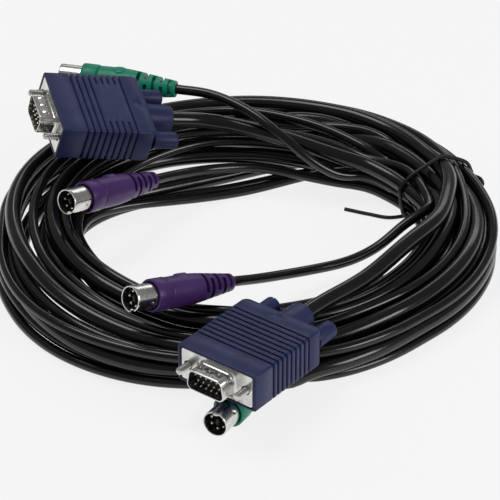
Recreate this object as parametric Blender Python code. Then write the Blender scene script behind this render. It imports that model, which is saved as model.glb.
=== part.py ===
"""A three-in-one computer cable, coiled and tied: a thick video cord and two thin keyboard and mouse cords,
with a 15-pin video plug and two 6-pin round plugs at each end.

Metres, +Z up. The underside of the coil stands on z = 0. Sizes below are in millimetres.
"""
import math

import bmesh
import bpy
from mathutils import Matrix, Vector

MM = 0.001
GAP = 0.3                       # clearance between neighbouring pieces
ROUND_STEPS = 16                # sides of the boots and barrels

# Cords
VIDEO_CORD_D = 6.1
THIN_CORD_D = 3.8

# Video plug: +X is the mating direction, +Z the wide side of the D, origin at the middle of the hood's front
SCREW_SPACING = 24.99
SCREW_D = 2.84
SCREW_HOLE_D = 3.6
SCREW_REACH = 5.6               # how far the screw stands out of the flange's face
SCREW_TIP = 0.5
KNOB_D = 6.6
KNOB_LENGTH = 10.0
KNOB_ROUND = 1.1

FLANGE_MARGIN = 1.1             # metal left between a screw hole and the flange's end
FLANGE_WIDTH = SCREW_SPACING + SCREW_HOLE_D + 2 * FLANGE_MARGIN
FLANGE_HEIGHT = 12.5
FLANGE_THICK = 0.8
FLANGE_RECESS = 0.2             # how far the flange's face lies behind the hood's front edge

HOOD_SIDE_WALL = 1.3
HOOD_FACE_WALL = 0.75
HOOD_LENGTH = 38.2
HOOD_WIDTH = FLANGE_WIDTH + 2 * (GAP + HOOD_SIDE_WALL)
HOOD_THICK = FLANGE_HEIGHT + 2 * (GAP + HOOD_FACE_WALL)
HOOD_EDGE = 1.0                 # rounding along the hood's long edges
HOOD_REAR_CORNER = 3.0          # rounding of the two rear corners, seen from above
GROOVES = 9
GROOVE_FIRST = 10.0             # from the front of the hood to the middle of the first groove
GROOVE_PITCH = 2.5
GROOVE_WIDTH = 1.0
GROOVE_DEPTH = 0.7
LABEL_FIRST_GROOVE = 4          # the label area fills these grooves on the wide side
LABEL_GROOVES = 4
LABEL_WIDTH = 22.0
BARREL_D = 11.6
BARREL_END_D = 10.8
BARREL_LENGTH = 11.0

SKIRT_WIDTH = 16.9
SKIRT_HEIGHT = 8.3
SKIRT_CORNER = 2.4
SKIRT_SLOPE = math.radians(10.0)
SKIRT_LENGTH = 6.4
SKIRT_WALL = 0.5
CAN_DEPTH = 8.0                 # rear shell
CAN_WALL = 0.6
CAN_FLANGE_THICK = 0.8
PIN_D = 0.8
PIN_PITCH = 2.29
PIN_ROW_PITCH = 1.98
PIN_ROWS = 3
PINS_PER_ROW = 5
PIN_SHORT_OF_SKIRT = 1.0
INSULATOR_FACE = 2.6            # the insulator's face, measured forward from the flange's face

# Round plug: +X is the mating direction, origin at the middle of the boot's front
COLLAR_D = 12.0
COLLAR_LENGTH = 6.5
BODY_D = 11.4
BODY_LENGTH = 16.0
COLLAR_NECK = 0.35              # depth of the line between collar and body
RELIEF_START_D = 10.6
RELIEF_END_D = 6.4
RELIEF_CORE_D = 5.4
RIBS = 5
RIB_WIDTH = 1.7
RIB_SPACE = 1.45
THUMB_MARK_D = 4.4
THUMB_MARK_RISE = 0.45
SHELL_D = 9.5
SHELL_WALL = 0.5
SHELL_LENGTH = 9.0
SHELL_SEAT = 6.0                # how deep the shell sits in the boot
KEYWAY_DEPTH = 0.8
KEYWAY_HALF_ANGLE = math.radians(13.0)
ROUND_PIN_D = 1.1
ROUND_PIN_CIRCLE = 5.4
ROUND_PIN_ANGLES = (30, 90, 150, 210, 270, 330)
ROUND_PIN_SHORT = 1.6           # how far the pins stay behind the shell's rim
ROUND_FACE = 2.4                # the insulator's face, measured forward from the boot
KEY_POST = (1.3, 2.3)

# Coil: stations around it, counter-clockwise from +X, as angle, inner radius, outer radius and height
COIL_CENTRE = (-0.25, 13.3)
COIL_STATIONS = (
    (0, 67, 96, 19),
    (22.5, 74.5, 96, 17.5),
    (30, 74.5, 96, 17.5),
    (45, 69, 94.5, 19.5),
    (68, 59, 94.5, 21),
    (90, 55, 96, 21.5),
    (118, 57, 97, 22),
    (145, 60, 97, 24),
    (180, 64, 95.5, 22),
    (200, 61.5, 98, 20.5),
    (222, 55.5, 101.5, 19),
    (238, 51.5, 99, 17.5),
    (252, 49, 96, 14),
    (290, 48, 89, 14),
    (316, 54, 88, 17),
    (340, 62, 93.5, 19.5),
)
COIL_STEPS = 48
COIL_TOP_ROUND = 0.46           # of the height
COIL_FOOT_ROUND = 3.0

# Places of the plugs, measured from the coil's centre: origin, heading, nose-up and roll in degrees
VIDEO_A = ((-75.6, 39.8, 40.4), 199.2, 12.9, -13.3)
VIDEO_B = ((-10.5, -110.1, 21.7), 232.1, 0.0, 180.0)
KEYBOARD_A = ((-60.8, -3.0, 29.1), 227.7, 13.0, 30.0)
KEYBOARD_B = ((-34.3, -70.0, 29.1), 220.7, 14.7, 30.0)
MOUSE_A = ((-65.0, 81.7, 33.5), 166.0, 0.0, 0.0)
MOUSE_B = ((-6.6, -109.2, 6.9), 240.6, 2.2, 180.0)

# Routes of the free cords from near their plug to the coil, measured from the coil's centre. The first ends lie
# along the coil's inner wall, the second video cord ends on top of the coil, the second keyboard cord on its
# inner shoulder and the second mouse cord in its underside.
VIDEO_ROUTE_A = ((-18, 59.9, 26.5), (-5, 59.2, 24.6), (12, 53.5, 23.0), (27, 50.0, 19.4), (38, 47.6, 16.6),
                 (46.2, 46.2, 14.6))
KEYBOARD_ROUTE_A = ((-25, 37, 16.0), (-12, 45.8, 13.0), (4, 51.0, 10.5), (22, 50.5, 7.0), (36, 49.0, 4.6),
                    (47.1, 47.1, 3.8))
MOUSE_ROUTE_A = ((-14, 68.2, 33.6), (0, 58.2, 32.0), (14, 47.5, 26.0), (25, 43.5, 17.5), (36.5, 44.2, 10.4),
                 (47.1, 47.1, 9.0))
VIDEO_ROUTE_B = ((28, -61.5, 21.6), (43, -46.5, 21.8), (58, -27, 23.8), (71, -7.5, 23.6), (78.2, 11, 22.8))
KEYBOARD_ROUTE_B = ((3.5, -36.0, 14.5), (14, -26.5, 10.4), (26, -17.5, 7.2), (38, -11.0, 6.4), (49.5, -4.5, 9.0),
                    (59.0, 2.4, 14.4), (69.6, 9.9, 17.4))
MOUSE_TAIL = 13.0

# Twist tie, round the coil and the video cord on top of it
TIE_D = 1.5
TIE_ANGLE = 26.0
TIE_CORD_RADIUS = 81.5          # how far the video cord under the tie is from the coil's centre
TIE_CORD_RISE = 0.4             # how far that cord clears the top of the coil
TIE_CORD_ANGLES = (-6.0, 0.0, 7.0)  # where it passes the tie and ends, measured from the tie

COLOURS = {
    "navy": ((0.034, 0.040, 0.116), 0.42, 0.0),
    "purple": ((0.070, 0.026, 0.140), 0.42, 0.0),
    "green": ((0.006, 0.270, 0.170), 0.42, 0.0),
    "nickel": ((0.62, 0.61, 0.58), 0.25, 1.0),
    "black_plastic": ((0.010, 0.010, 0.010), 0.45, 0.0),
    "black_cord": ((0.008, 0.008, 0.008), 0.35, 0.0),
}


def material(name):
    """The named material, made once."""
    found = bpy.data.materials.get(name)
    if found:
        return found
    colour, roughness, metallic = COLOURS[name]
    made = bpy.data.materials.new(name)
    made.use_nodes = True
    shader = made.node_tree.nodes["Principled BSDF"]
    shader.inputs["Base Color"].default_value = (*colour, 1.0)
    shader.inputs["Roughness"].default_value = roughness
    shader.inputs["Metallic"].default_value = metallic
    return made


def collection(name):
    made = bpy.data.collections.new(name)
    bpy.context.scene.collection.children.link(made)
    return made


def add_object(name, data, where, parent=None):
    made = bpy.data.objects.new(name, data)
    where.objects.link(made)
    made.parent = parent
    return made


def rings_to_mesh(name, rings, closed_path=False):
    """A closed mesh through rings of points: capped at both ends, or joined end to start."""
    bm = bmesh.new()
    loops = [[bm.verts.new([c * MM for c in p]) for p in ring] for ring in rings]
    pairs = list(zip(loops, loops[1:]))
    if closed_path:
        pairs.append((loops[-1], loops[0]))
    else:
        bm.faces.new(loops[0])
        bm.faces.new(loops[-1])
    count = len(loops[0])
    for first, second in pairs:
        for i in range(count):
            j = (i + 1) % count
            bm.faces.new((first[i], first[j], second[j], second[i]))
    bmesh.ops.recalc_face_normals(bm, faces=bm.faces)
    mesh = bpy.data.meshes.new(name)
    bm.to_mesh(mesh)
    bm.free()
    return mesh


def rounded_rectangle(width, height, radius, steps=3):
    """Points of a rounded rectangle about the origin, counter-clockwise."""
    points = []
    for corner, (sx, sy) in enumerate(((1, 1), (-1, 1), (-1, -1), (1, -1))):
        cx = sx * (width / 2 - radius)
        cy = sy * (height / 2 - radius)
        for i in range(steps):
            a = math.radians(90 * corner + 90 * i / (steps - 1))
            points.append((cx + radius * math.cos(a), cy + radius * math.sin(a)))
    return points


def d_outline(inset, steps=4):
    """The D-shaped outline of the skirt, moved inwards by inset, wide side up."""
    half_top = SKIRT_WIDTH / 2
    half_foot = half_top - SKIRT_HEIGHT * math.tan(SKIRT_SLOPE)
    corners = ((half_top, SKIRT_HEIGHT / 2), (-half_top, SKIRT_HEIGHT / 2),
               (-half_foot, -SKIRT_HEIGHT / 2), (half_foot, -SKIRT_HEIGHT / 2))
    radius = SKIRT_CORNER - inset
    points = []
    for i, corner in enumerate(corners):
        here = Vector(corner)
        before = (Vector(corners[i - 1]) - here).normalized()
        after = (Vector(corners[(i + 1) % 4]) - here).normalized()
        half_angle = before.angle(after) / 2
        centre = here + (before + after).normalized() * (SKIRT_CORNER / math.sin(half_angle))
        start = Vector((-before.y, before.x))
        end = Vector((after.y, -after.x))
        for k in range(steps):
            direction = start.slerp(end, k / (steps - 1))
            points.append(tuple(centre + direction * radius))
    return points


def circle(diameter, steps):
    return [(diameter / 2 * math.cos(2 * math.pi * i / steps), diameter / 2 * math.sin(2 * math.pi * i / steps))
            for i in range(steps)]


def prism(name, outline, x0, x1):
    """A straight prism along X over a YZ outline."""
    return rings_to_mesh(name, [[(x, y, z) for y, z in outline] for x in (x0, x1)])


def turned(name, profile, steps):
    """A solid turned about X from (x, diameter) stations."""
    return rings_to_mesh(name, [[(x, y, z) for y, z in circle(d, steps)] for x, d in profile])


def move_outline(outline, dy, dz):
    return [(y + dy, z + dz) for y, z in outline]


def boolean(target, operation, mesh, cutters):
    """Join mesh to the target, or cut it from the target, with a modifier."""
    tool = add_object(f"{target.name}_{operation.lower()}_{len(target.modifiers)}", mesh, cutters, target)
    tool.hide_render = True
    tool.display_type = "WIRE"
    modifier = target.modifiers.new(operation.title(), "BOOLEAN")
    modifier.operation = operation
    modifier.object = tool
    return tool


def shade(obj, slot):
    obj.data.materials.append(material(slot))
    if obj.type == "MESH":
        obj.data.shade_smooth()
        obj.data.set_sharp_from_angle(angle=math.radians(35))


# Video plug


def hood_mesh():
    """The grooved block of the hood, lofted along its length."""
    groove_middles = [GROOVE_FIRST + GROOVE_PITCH * i for i in range(GROOVES)]
    stations = [(0.0, 0.4, 0.4), (0.4, 0.0, 0.0)]
    for middle in groove_middles:
        edge = GROOVE_WIDTH / 2
        stations += [(middle - edge, 0, 0), (middle - edge * 0.6, GROOVE_DEPTH, GROOVE_DEPTH),
                     (middle + edge * 0.6, GROOVE_DEPTH, GROOVE_DEPTH), (middle + edge, 0, 0)]
    for angle in (0, 30, 60, 90):
        a = math.radians(angle)
        back = HOOD_LENGTH - HOOD_REAR_CORNER + HOOD_REAR_CORNER * math.sin(a)
        side = HOOD_REAR_CORNER * (1 - math.cos(a))
        stations.append((back, side, side * HOOD_EDGE / HOOD_REAR_CORNER))
    rings = []
    for x, side, face in stations:
        outline = rounded_rectangle(HOOD_WIDTH - 2 * side, HOOD_THICK - 2 * face, HOOD_EDGE)
        rings.append([(-x, y, z) for y, z in outline])
    return rings_to_mesh("hood", rings)


def make_hood(name, plug, parts, cutters):
    hood = add_object(name, hood_mesh(), parts, plug)
    label_start = GROOVE_FIRST + GROOVE_PITCH * (LABEL_FIRST_GROOVE - 0.5)
    label_end = label_start + GROOVE_PITCH * LABEL_GROOVES
    label = rounded_rectangle(LABEL_WIDTH, 2 * GROOVE_DEPTH, 0.1, 2)
    top = move_outline(label, 0, HOOD_THICK / 2 - GROOVE_DEPTH)
    boolean(hood, "UNION", prism("label", top, -label_start, -label_end), cutters)
    barrel = turned("barrel", ((-HOOD_LENGTH + 2, BARREL_D), (-HOOD_LENGTH - 4, BARREL_D),
                               (-HOOD_LENGTH - BARREL_LENGTH + 1, BARREL_END_D + 0.2),
                               (-HOOD_LENGTH - BARREL_LENGTH, BARREL_END_D - 1.2)), ROUND_STEPS)
    boolean(hood, "UNION", barrel, cutters)
    pocket_depth = FLANGE_RECESS + FLANGE_THICK + GAP + CAN_FLANGE_THICK + CAN_DEPTH + 2 * GAP
    seat = rounded_rectangle(FLANGE_WIDTH + 2 * GAP, FLANGE_HEIGHT + 2 * GAP, 0.6, 2)
    boolean(hood, "DIFFERENCE", prism("seat", seat, 1.0, -pocket_depth), cutters)
    for side in (1, -1):
        bore = move_outline(circle(SCREW_HOLE_D, 12), side * SCREW_SPACING / 2, 0)
        boolean(hood, "DIFFERENCE", prism("bore", bore, -pocket_depth + 1, -HOOD_LENGTH - 1), cutters)
    shade(hood, "navy")
    return hood


def make_front_shell(name, plug, parts, cutters):
    """Flange and skirt of the stamped shell that faces the socket."""
    face = -FLANGE_RECESS
    flange = rounded_rectangle(FLANGE_WIDTH, FLANGE_HEIGHT, 0.8, 2)
    shell = add_object(name, prism(name, flange, face - FLANGE_THICK, face), parts, plug)
    outside = [(y, z) for y, z in d_outline(0)]
    inside = [(y, z) for y, z in d_outline(SKIRT_WALL)]
    boolean(shell, "UNION", prism("skirt", outside, face - FLANGE_THICK / 2, face + SKIRT_LENGTH), cutters)
    boolean(shell, "DIFFERENCE", prism("mouth", inside, face - 2, face + SKIRT_LENGTH + 1), cutters)
    for side in (1, -1):
        hole = move_outline(circle(SCREW_HOLE_D, 12), side * SCREW_SPACING / 2, 0)
        boolean(shell, "DIFFERENCE", prism("hole", hole, face - 2, face + 1), cutters)
    shade(shell, "nickel")
    return shell


def make_rear_shell(name, plug, parts, cutters):
    """The can that clamps the contact block from behind, inside the hood."""
    front = -FLANGE_RECESS - FLANGE_THICK - GAP
    back = front - CAN_FLANGE_THICK - CAN_DEPTH
    flange = rounded_rectangle(FLANGE_WIDTH, FLANGE_HEIGHT, 0.8, 2)
    shell = add_object(name, prism(name, flange, front - CAN_FLANGE_THICK, front), parts, plug)
    outside = rounded_rectangle(SKIRT_WIDTH + 2 * CAN_WALL, SKIRT_HEIGHT + 2 * CAN_WALL, 1.5, 3)
    inside = rounded_rectangle(SKIRT_WIDTH, SKIRT_HEIGHT, 1.0, 3)
    boolean(shell, "UNION", prism("can", outside, front - CAN_FLANGE_THICK / 2, back), cutters)
    boolean(shell, "DIFFERENCE", prism("inside", inside, front + 1, back - 1), cutters)
    for side in (1, -1):
        hole = move_outline(circle(SCREW_HOLE_D, 12), side * SCREW_SPACING / 2, 0)
        boolean(shell, "DIFFERENCE", prism("hole", hole, front - 2, front + 1), cutters)
    shade(shell, "nickel")
    return shell


def make_contact_block(name, plug, parts, cutters):
    """The insulator with its fifteen pins, in three rows."""
    face = -FLANGE_RECESS
    back = -FLANGE_RECESS - FLANGE_THICK - GAP - CAN_FLANGE_THICK - CAN_DEPTH + 1
    outline = [(y, z) for y, z in d_outline(SKIRT_WALL + GAP)]
    block = add_object(name, prism(name, outline, back, face + INSULATOR_FACE), parts, plug)
    for row in range(PIN_ROWS):
        z = (1 - row) * PIN_ROW_PITCH
        shift = PIN_PITCH / 2 * (0.5 if row % 2 == 0 else -0.5)
        for i in range(PINS_PER_ROW):
            y = (i - (PINS_PER_ROW - 1) / 2) * PIN_PITCH + shift
            pin = move_outline(circle(PIN_D, 6), y, z)
            tip = face + SKIRT_LENGTH - PIN_SHORT_OF_SKIRT
            boolean(block, "UNION", prism("pin", pin, face + INSULATOR_FACE - 1, tip), cutters)
    shade(block, "black_plastic")
    return block


def make_thumbscrew(name, plug, side, parts):
    """A steel jackscrew and the knob moulded on it, about an empty on the screw's axis."""
    axis = bpy.data.objects.new(f"{name}_axis", None)
    parts.objects.link(axis)
    axis.parent = plug
    axis.location = (0, side * SCREW_SPACING / 2 * MM, 0)
    rear = -HOOD_LENGTH - GAP
    tip = -FLANGE_RECESS + SCREW_REACH
    screw = turned("screw", ((rear, SCREW_D), (tip - SCREW_TIP, SCREW_D), (tip, SCREW_D - 2 * SCREW_TIP)), 12)
    jackscrew = add_object(name.replace("thumbscrew", "jackscrew"), screw, parts, axis)
    shade(jackscrew, "nickel")
    front = rear - GAP
    end = front - KNOB_LENGTH
    profile = [(front, KNOB_D - 0.6), (front - 0.5, KNOB_D)]
    for angle in (0, 45, 90):
        a = math.radians(angle)
        profile.append((end + KNOB_ROUND * (1 - math.sin(a)), KNOB_D - 2 * KNOB_ROUND * (1 - math.cos(a))))
    knob = add_object(name, turned("knob", profile, 16), parts, axis)
    shade(knob, "navy")
    return axis


def make_video_plug(end, pose, root, parts, cutters):
    plug = place_plug(f"video_plug_{end}", pose, root, parts)
    make_hood(f"video_hood_{end}", plug, parts, cutters)
    make_front_shell(f"video_front_shell_{end}", plug, parts, cutters)
    make_rear_shell(f"video_rear_shell_{end}", plug, parts, cutters)
    make_contact_block(f"video_contact_block_{end}", plug, parts, cutters)
    for number, side in ((1, 1), (2, -1)):
        make_thumbscrew(f"thumbscrew_{end}{number}", plug, side, parts)
    return plug


# Round plug


def boot_profile():
    """Stations of the boot from its front to its tail: distance back and diameter."""
    profile = [(0.0, COLLAR_D - 0.8), (0.4, COLLAR_D), (COLLAR_LENGTH - 0.3, COLLAR_D),
               (COLLAR_LENGTH, BODY_D - 2 * COLLAR_NECK), (COLLAR_LENGTH + 0.3, BODY_D)]
    body_end = COLLAR_LENGTH + BODY_LENGTH
    profile += [(body_end - 0.8, BODY_D), (body_end, RELIEF_START_D)]
    pitch = RIB_WIDTH + RIB_SPACE
    for rib in range(RIBS):
        start = body_end + RIB_SPACE + pitch * rib
        share = (rib + 0.5) / RIBS
        rib_d = RELIEF_START_D + (RELIEF_END_D - RELIEF_START_D) * share
        core = min(RELIEF_CORE_D, rib_d - 0.8)
        profile += [(start - RIB_SPACE + 0.05, core), (start, core), (start + 0.05, rib_d),
                    (start + RIB_WIDTH, rib_d)]
    return profile


def boot_length():
    return COLLAR_LENGTH + BODY_LENGTH + RIBS * (RIB_WIDTH + RIB_SPACE)


def shell_outline(inset, steps=20):
    """The round shell's outline with its keyway pressed in at the foot."""
    radius = SHELL_D / 2 - inset
    keyway = -math.pi / 2
    points = []
    for i in range(steps):
        a = keyway + KEYWAY_HALF_ANGLE + (2 * math.pi - 2 * KEYWAY_HALF_ANGLE) * i / (steps - 1)
        points.append((radius * math.cos(a), radius * math.sin(a)))
    deep = radius - KEYWAY_DEPTH
    for a in (keyway - KEYWAY_HALF_ANGLE * 0.6, keyway + KEYWAY_HALF_ANGLE * 0.6):
        points.append((deep * math.cos(a), deep * math.sin(a)))
    return points


def make_boot(name, slot, plug, parts, cutters):
    boot = add_object(name, turned(name, [(-x, d) for x, d in boot_profile()], ROUND_STEPS), parts, plug)
    mark_top = BODY_D / 2 + THUMB_MARK_RISE
    mark_x = -COLLAR_LENGTH - BODY_LENGTH * 0.55
    outline = [(mark_x + y, z) for y, z in circle(THUMB_MARK_D, 12)]
    mark = rings_to_mesh("mark", [[(x, y, level) for x, y in outline] for level in (mark_top - 1.5, mark_top)])
    boolean(boot, "UNION", mark, cutters)
    seat = circle(SHELL_D + 2 * GAP, ROUND_STEPS)
    boolean(boot, "DIFFERENCE", prism("seat", seat, 1.0, -SHELL_SEAT - GAP), cutters)
    shade(boot, slot)
    return boot


def make_round_shell(name, plug, parts, cutters):
    shell = add_object(name, prism(name, shell_outline(0), -SHELL_SEAT, SHELL_LENGTH), parts, plug)
    boolean(shell, "DIFFERENCE", prism("inside", shell_outline(SHELL_WALL), -SHELL_SEAT - 1, SHELL_LENGTH + 1),
            cutters)
    shade(shell, "nickel")
    return shell


def make_round_contacts(name, plug, parts, cutters):
    """The insulator with six pins and the square key post."""
    outline = shell_outline(SHELL_WALL + GAP)
    block = add_object(name, prism(name, outline, -SHELL_SEAT + GAP, ROUND_FACE), parts, plug)
    tip = SHELL_LENGTH - ROUND_PIN_SHORT
    for angle in ROUND_PIN_ANGLES:
        a = math.radians(angle)
        reach = ROUND_PIN_CIRCLE / 2
        pin = move_outline(circle(ROUND_PIN_D, 6), reach * math.cos(a), reach * math.sin(a))
        boolean(block, "UNION", prism("pin", pin, ROUND_FACE - 1, tip), cutters)
    post = rounded_rectangle(KEY_POST[0], KEY_POST[1], 0.2, 2)
    boolean(block, "UNION", prism("post", post, ROUND_FACE - 1, tip), cutters)
    shade(block, "black_plastic")
    return block


def make_round_plug(kind, end, slot, pose, root, parts, cutters):
    plug = place_plug(f"{kind}_plug_{end}", pose, root, parts)
    make_boot(f"{kind}_boot_{end}", slot, plug, parts, cutters)
    make_round_shell(f"{kind}_shell_{end}", plug, parts, cutters)
    make_round_contacts(f"{kind}_contact_block_{end}", plug, parts, cutters)
    return plug


# Placing


def pose_matrix(pose):
    """Heading about Z, then nose-up, then roll about the plug's own axis."""
    place, heading, nose_up, roll = pose
    turn = Matrix.Rotation(math.radians(heading), 4, "Z")
    lift = Matrix.Rotation(math.radians(-nose_up), 4, "Y")
    spin = Matrix.Rotation(math.radians(roll), 4, "X")
    return Matrix.Translation(Vector(place) * MM) @ turn @ lift @ spin


def place_plug(name, pose, root, parts):
    empty = bpy.data.objects.new(name, None)
    parts.objects.link(empty)
    empty.parent = root
    empty.matrix_local = pose_matrix(pose)
    return empty


def behind(pose, distance):
    """The point on the plug's axis at a distance behind its origin, in millimetres."""
    return (pose_matrix(pose) @ Vector((-distance * MM, 0, 0))) / MM


# Coil, cords and tie


def coil_section(angle):
    """Inner radius, outer radius and height of the coil at an angle in degrees."""
    angle %= 360
    stations = COIL_STATIONS
    count = len(stations)
    for i in range(count):
        start = stations[i][0]
        end = stations[(i + 1) % count][0] + (360 if i == count - 1 else 0)
        if start <= angle <= end or start <= angle + 360 <= end:
            t = ((angle if angle >= start else angle + 360) - start) / (end - start)
            t = t * t * (3 - 2 * t)
            here, after = stations[i], stations[(i + 1) % count]
            return [here[k] + (after[k] - here[k]) * t for k in (1, 2, 3)]
    raise ValueError("the stations leave a gap")


def coil_ring(angle):
    """The section's outline at an angle, standing flat on its foot."""
    inner, outer, height = coil_section(angle)
    top = COIL_TOP_ROUND * height
    foot = COIL_FOOT_ROUND
    corners = ((outer - foot, foot, foot, -90), (outer - top, height - top, top, 0),
               (inner + top, height - top, top, 90), (inner + foot, foot, foot, 180))
    a = math.radians(angle)
    points = []
    for r, z, radius, start in corners:
        steps = 4 if radius > foot else 3
        for i in range(steps):
            b = math.radians(start + 90 * i / (steps - 1))
            reach = r + radius * math.cos(b)
            points.append((reach * math.cos(a), reach * math.sin(a), z + radius * math.sin(b)))
    return points


def make_coil(root, parts, cutters):
    rings = [coil_ring(360 * i / COIL_STEPS) for i in range(COIL_STEPS)]
    coil = add_object("cable_coil", rings_to_mesh("cable_coil", rings, closed_path=True), parts, root)
    wide = 2 * math.hypot(BODY_D / 2 + THUMB_MARK_RISE, THUMB_MARK_D / 2) + 3 * GAP
    channel = turned("channel", [(SHELL_LENGTH, wide), (-COLLAR_LENGTH - BODY_LENGTH, wide),
                                 (-boot_length() - GAP, RELIEF_END_D + 10 * GAP),
                                 (-boot_length() - MOUSE_TAIL - 2 * GAP, THIN_CORD_D + 6 * GAP)], 16)
    tool = boolean(coil, "DIFFERENCE", channel, cutters)
    tool.matrix_local = pose_matrix(MOUSE_B)
    inner, outer, height = coil_section(TIE_ANGLE)
    slot = bpy.data.meshes.new("tie_slot")
    bm = bmesh.new()
    size = Matrix.Diagonal(((outer - inner) * 1.5 * MM, 2 * TIE_D * MM, 2 * (TIE_D + 6 * GAP) * MM, 1))
    bmesh.ops.create_cube(bm, size=1.0, matrix=size)
    bm.to_mesh(slot)
    bm.free()
    tool = boolean(coil, "DIFFERENCE", slot, cutters)
    a = math.radians(TIE_ANGLE)
    middle = (inner + outer) / 2 * MM
    place = Matrix.Translation((middle * math.cos(a), middle * math.sin(a), 0))
    tool.matrix_local = place @ Matrix.Rotation(a, 4, "Z")
    shade(coil, "black_cord")
    return coil


def smooth_points(points, spacing):
    """Even points on a smooth curve (Catmull-Rom) through the route's points."""
    ends = [2 * points[0] - points[1], *points, 2 * points[-1] - points[-2]]
    dense = []
    for p0, p1, p2, p3 in zip(ends, ends[1:], ends[2:], ends[3:]):
        for i in range(20):
            t = i / 20
            dense.append(0.5 * (2 * p1 + (p2 - p0) * t + (2 * p0 - 5 * p1 + 4 * p2 - p3) * t * t
                                + (3 * p1 - p0 - 3 * p2 + p3) * t ** 3))
    dense.append(points[-1])
    lengths = [0.0]
    for a, b in zip(dense, dense[1:]):
        lengths.append(lengths[-1] + (b - a).length)
    count = max(3, round(lengths[-1] / spacing) + 1)
    even = []
    k = 0
    for i in range(count):
        want = lengths[-1] * i / (count - 1)
        while k < len(dense) - 2 and lengths[k + 1] < want:
            k += 1
        share = (want - lengths[k]) / max(1e-9, lengths[k + 1] - lengths[k])
        even.append(dense[k].lerp(dense[k + 1], share))
    return even


def make_tube(name, route, diameter, slot, root, parts):
    """A round cord along a smooth curve through the route's points."""
    curve = bpy.data.curves.new(name, "CURVE")
    curve.dimensions = "3D"
    curve.bevel_depth = diameter / 2 * MM
    curve.bevel_resolution = 2
    curve.use_fill_caps = True
    points = smooth_points([Vector(p) for p in route], 2.4 * diameter)
    spline = curve.splines.new("POLY")
    spline.points.add(len(points) - 1)
    for target, point in zip(spline.points, points):
        target.co = (*(point * MM), 1.0)
    tube = add_object(name, curve, parts, root)
    shade(tube, slot)
    return tube


def lead_route(pose, tail, route):
    """Straight out behind the plug, then through the route's points."""
    return [behind(pose, tail + GAP), behind(pose, tail + GAP + 2.5), *route]


def tied_cord():
    """Points of the video cord on top of the coil where it passes under the tie."""
    points = []
    for angle in TIE_CORD_ANGLES:
        height = coil_section(TIE_ANGLE + angle)[2] + VIDEO_CORD_D / 2 + TIE_CORD_RISE
        a = math.radians(TIE_ANGLE + angle)
        points.append((TIE_CORD_RADIUS * math.cos(a), TIE_CORD_RADIUS * math.sin(a), height))
    return points


def make_leads(root, parts):
    video_tail = HOOD_LENGTH + BARREL_LENGTH
    round_tail = boot_length()
    video_route_b = [*VIDEO_ROUTE_B, *tied_cord()]
    leads = (("video_lead_a", VIDEO_A, video_tail, VIDEO_ROUTE_A, VIDEO_CORD_D),
             ("video_lead_b", VIDEO_B, video_tail, video_route_b, VIDEO_CORD_D),
             ("keyboard_lead_a", KEYBOARD_A, round_tail, KEYBOARD_ROUTE_A, THIN_CORD_D),
             ("keyboard_lead_b", KEYBOARD_B, round_tail, KEYBOARD_ROUTE_B, THIN_CORD_D),
             ("mouse_lead_a", MOUSE_A, round_tail, MOUSE_ROUTE_A, THIN_CORD_D))
    for name, pose, tail, route, diameter in leads:
        make_tube(name, lead_route(pose, tail, route), diameter, "black_cord", root, parts)
    mouse_b = [behind(MOUSE_B, round_tail + GAP + MOUSE_TAIL * t) for t in (0, 0.5, 1)]
    make_tube("mouse_lead_b", mouse_b, THIN_CORD_D, "black_cord", root, parts)


def tie_route():
    """From a loose tail inside the coil, up over its top, round a short loop outside and back under it."""
    inner, outer, height = coil_section(TIE_ANGLE)
    a = math.radians(TIE_ANGLE)
    out = Vector((math.cos(a), math.sin(a), 0))
    along = Vector((-math.sin(a), math.cos(a), 0))
    up = Vector((0, 0, 1))
    off = TIE_D / 2 + 2 * GAP
    top = COIL_TOP_ROUND * height
    cord_z = height + VIDEO_CORD_D / 2 + TIE_CORD_RISE
    under = TIE_D / 2 + GAP

    def at(r, z, side=0.0):
        return out * r + up * z + along * side

    def round_corner(r, z, radius, degrees):
        b = math.radians(degrees)
        return at(r + (radius + off) * math.cos(b), z + (radius + off) * math.sin(b))

    return [
        at(inner - 20, under, 14), at(inner - 10, under, 7), at(inner - 3.2, under, 2.4), at(inner - 1.8, 2.4, 1.0),
        at(inner - off, 5), at(inner - off, height - top),
        round_corner(inner + top, height - top, top, 150), round_corner(inner + top, height - top, top, 122),
        round_corner(TIE_CORD_RADIUS, cord_z, VIDEO_CORD_D / 2, 172),
        round_corner(TIE_CORD_RADIUS, cord_z, VIDEO_CORD_D / 2, 130),
        round_corner(TIE_CORD_RADIUS, cord_z, VIDEO_CORD_D / 2, 90),
        round_corner(TIE_CORD_RADIUS, cord_z, VIDEO_CORD_D / 2, 45),
        round_corner(outer - top, height - top, top, 66), round_corner(outer - top, height - top, top, 34),
        at(outer + off + 0.6, 9.6, -1.4), at(outer + off + 2.6, 8.6, -3.6), at(outer + off + 2.4, 6.6, -3.6),
        at(outer + off + 0.6, 5.6, -1.4), at(outer + off - 0.1, 3.8), at(outer + 0.9, 2.0), at(outer - 2.5, under),
        at(outer - 9, under), at(inner + 9, under), at(inner + 2.5, under), at(inner - 1.4, under, -1.4),
    ]


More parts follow.
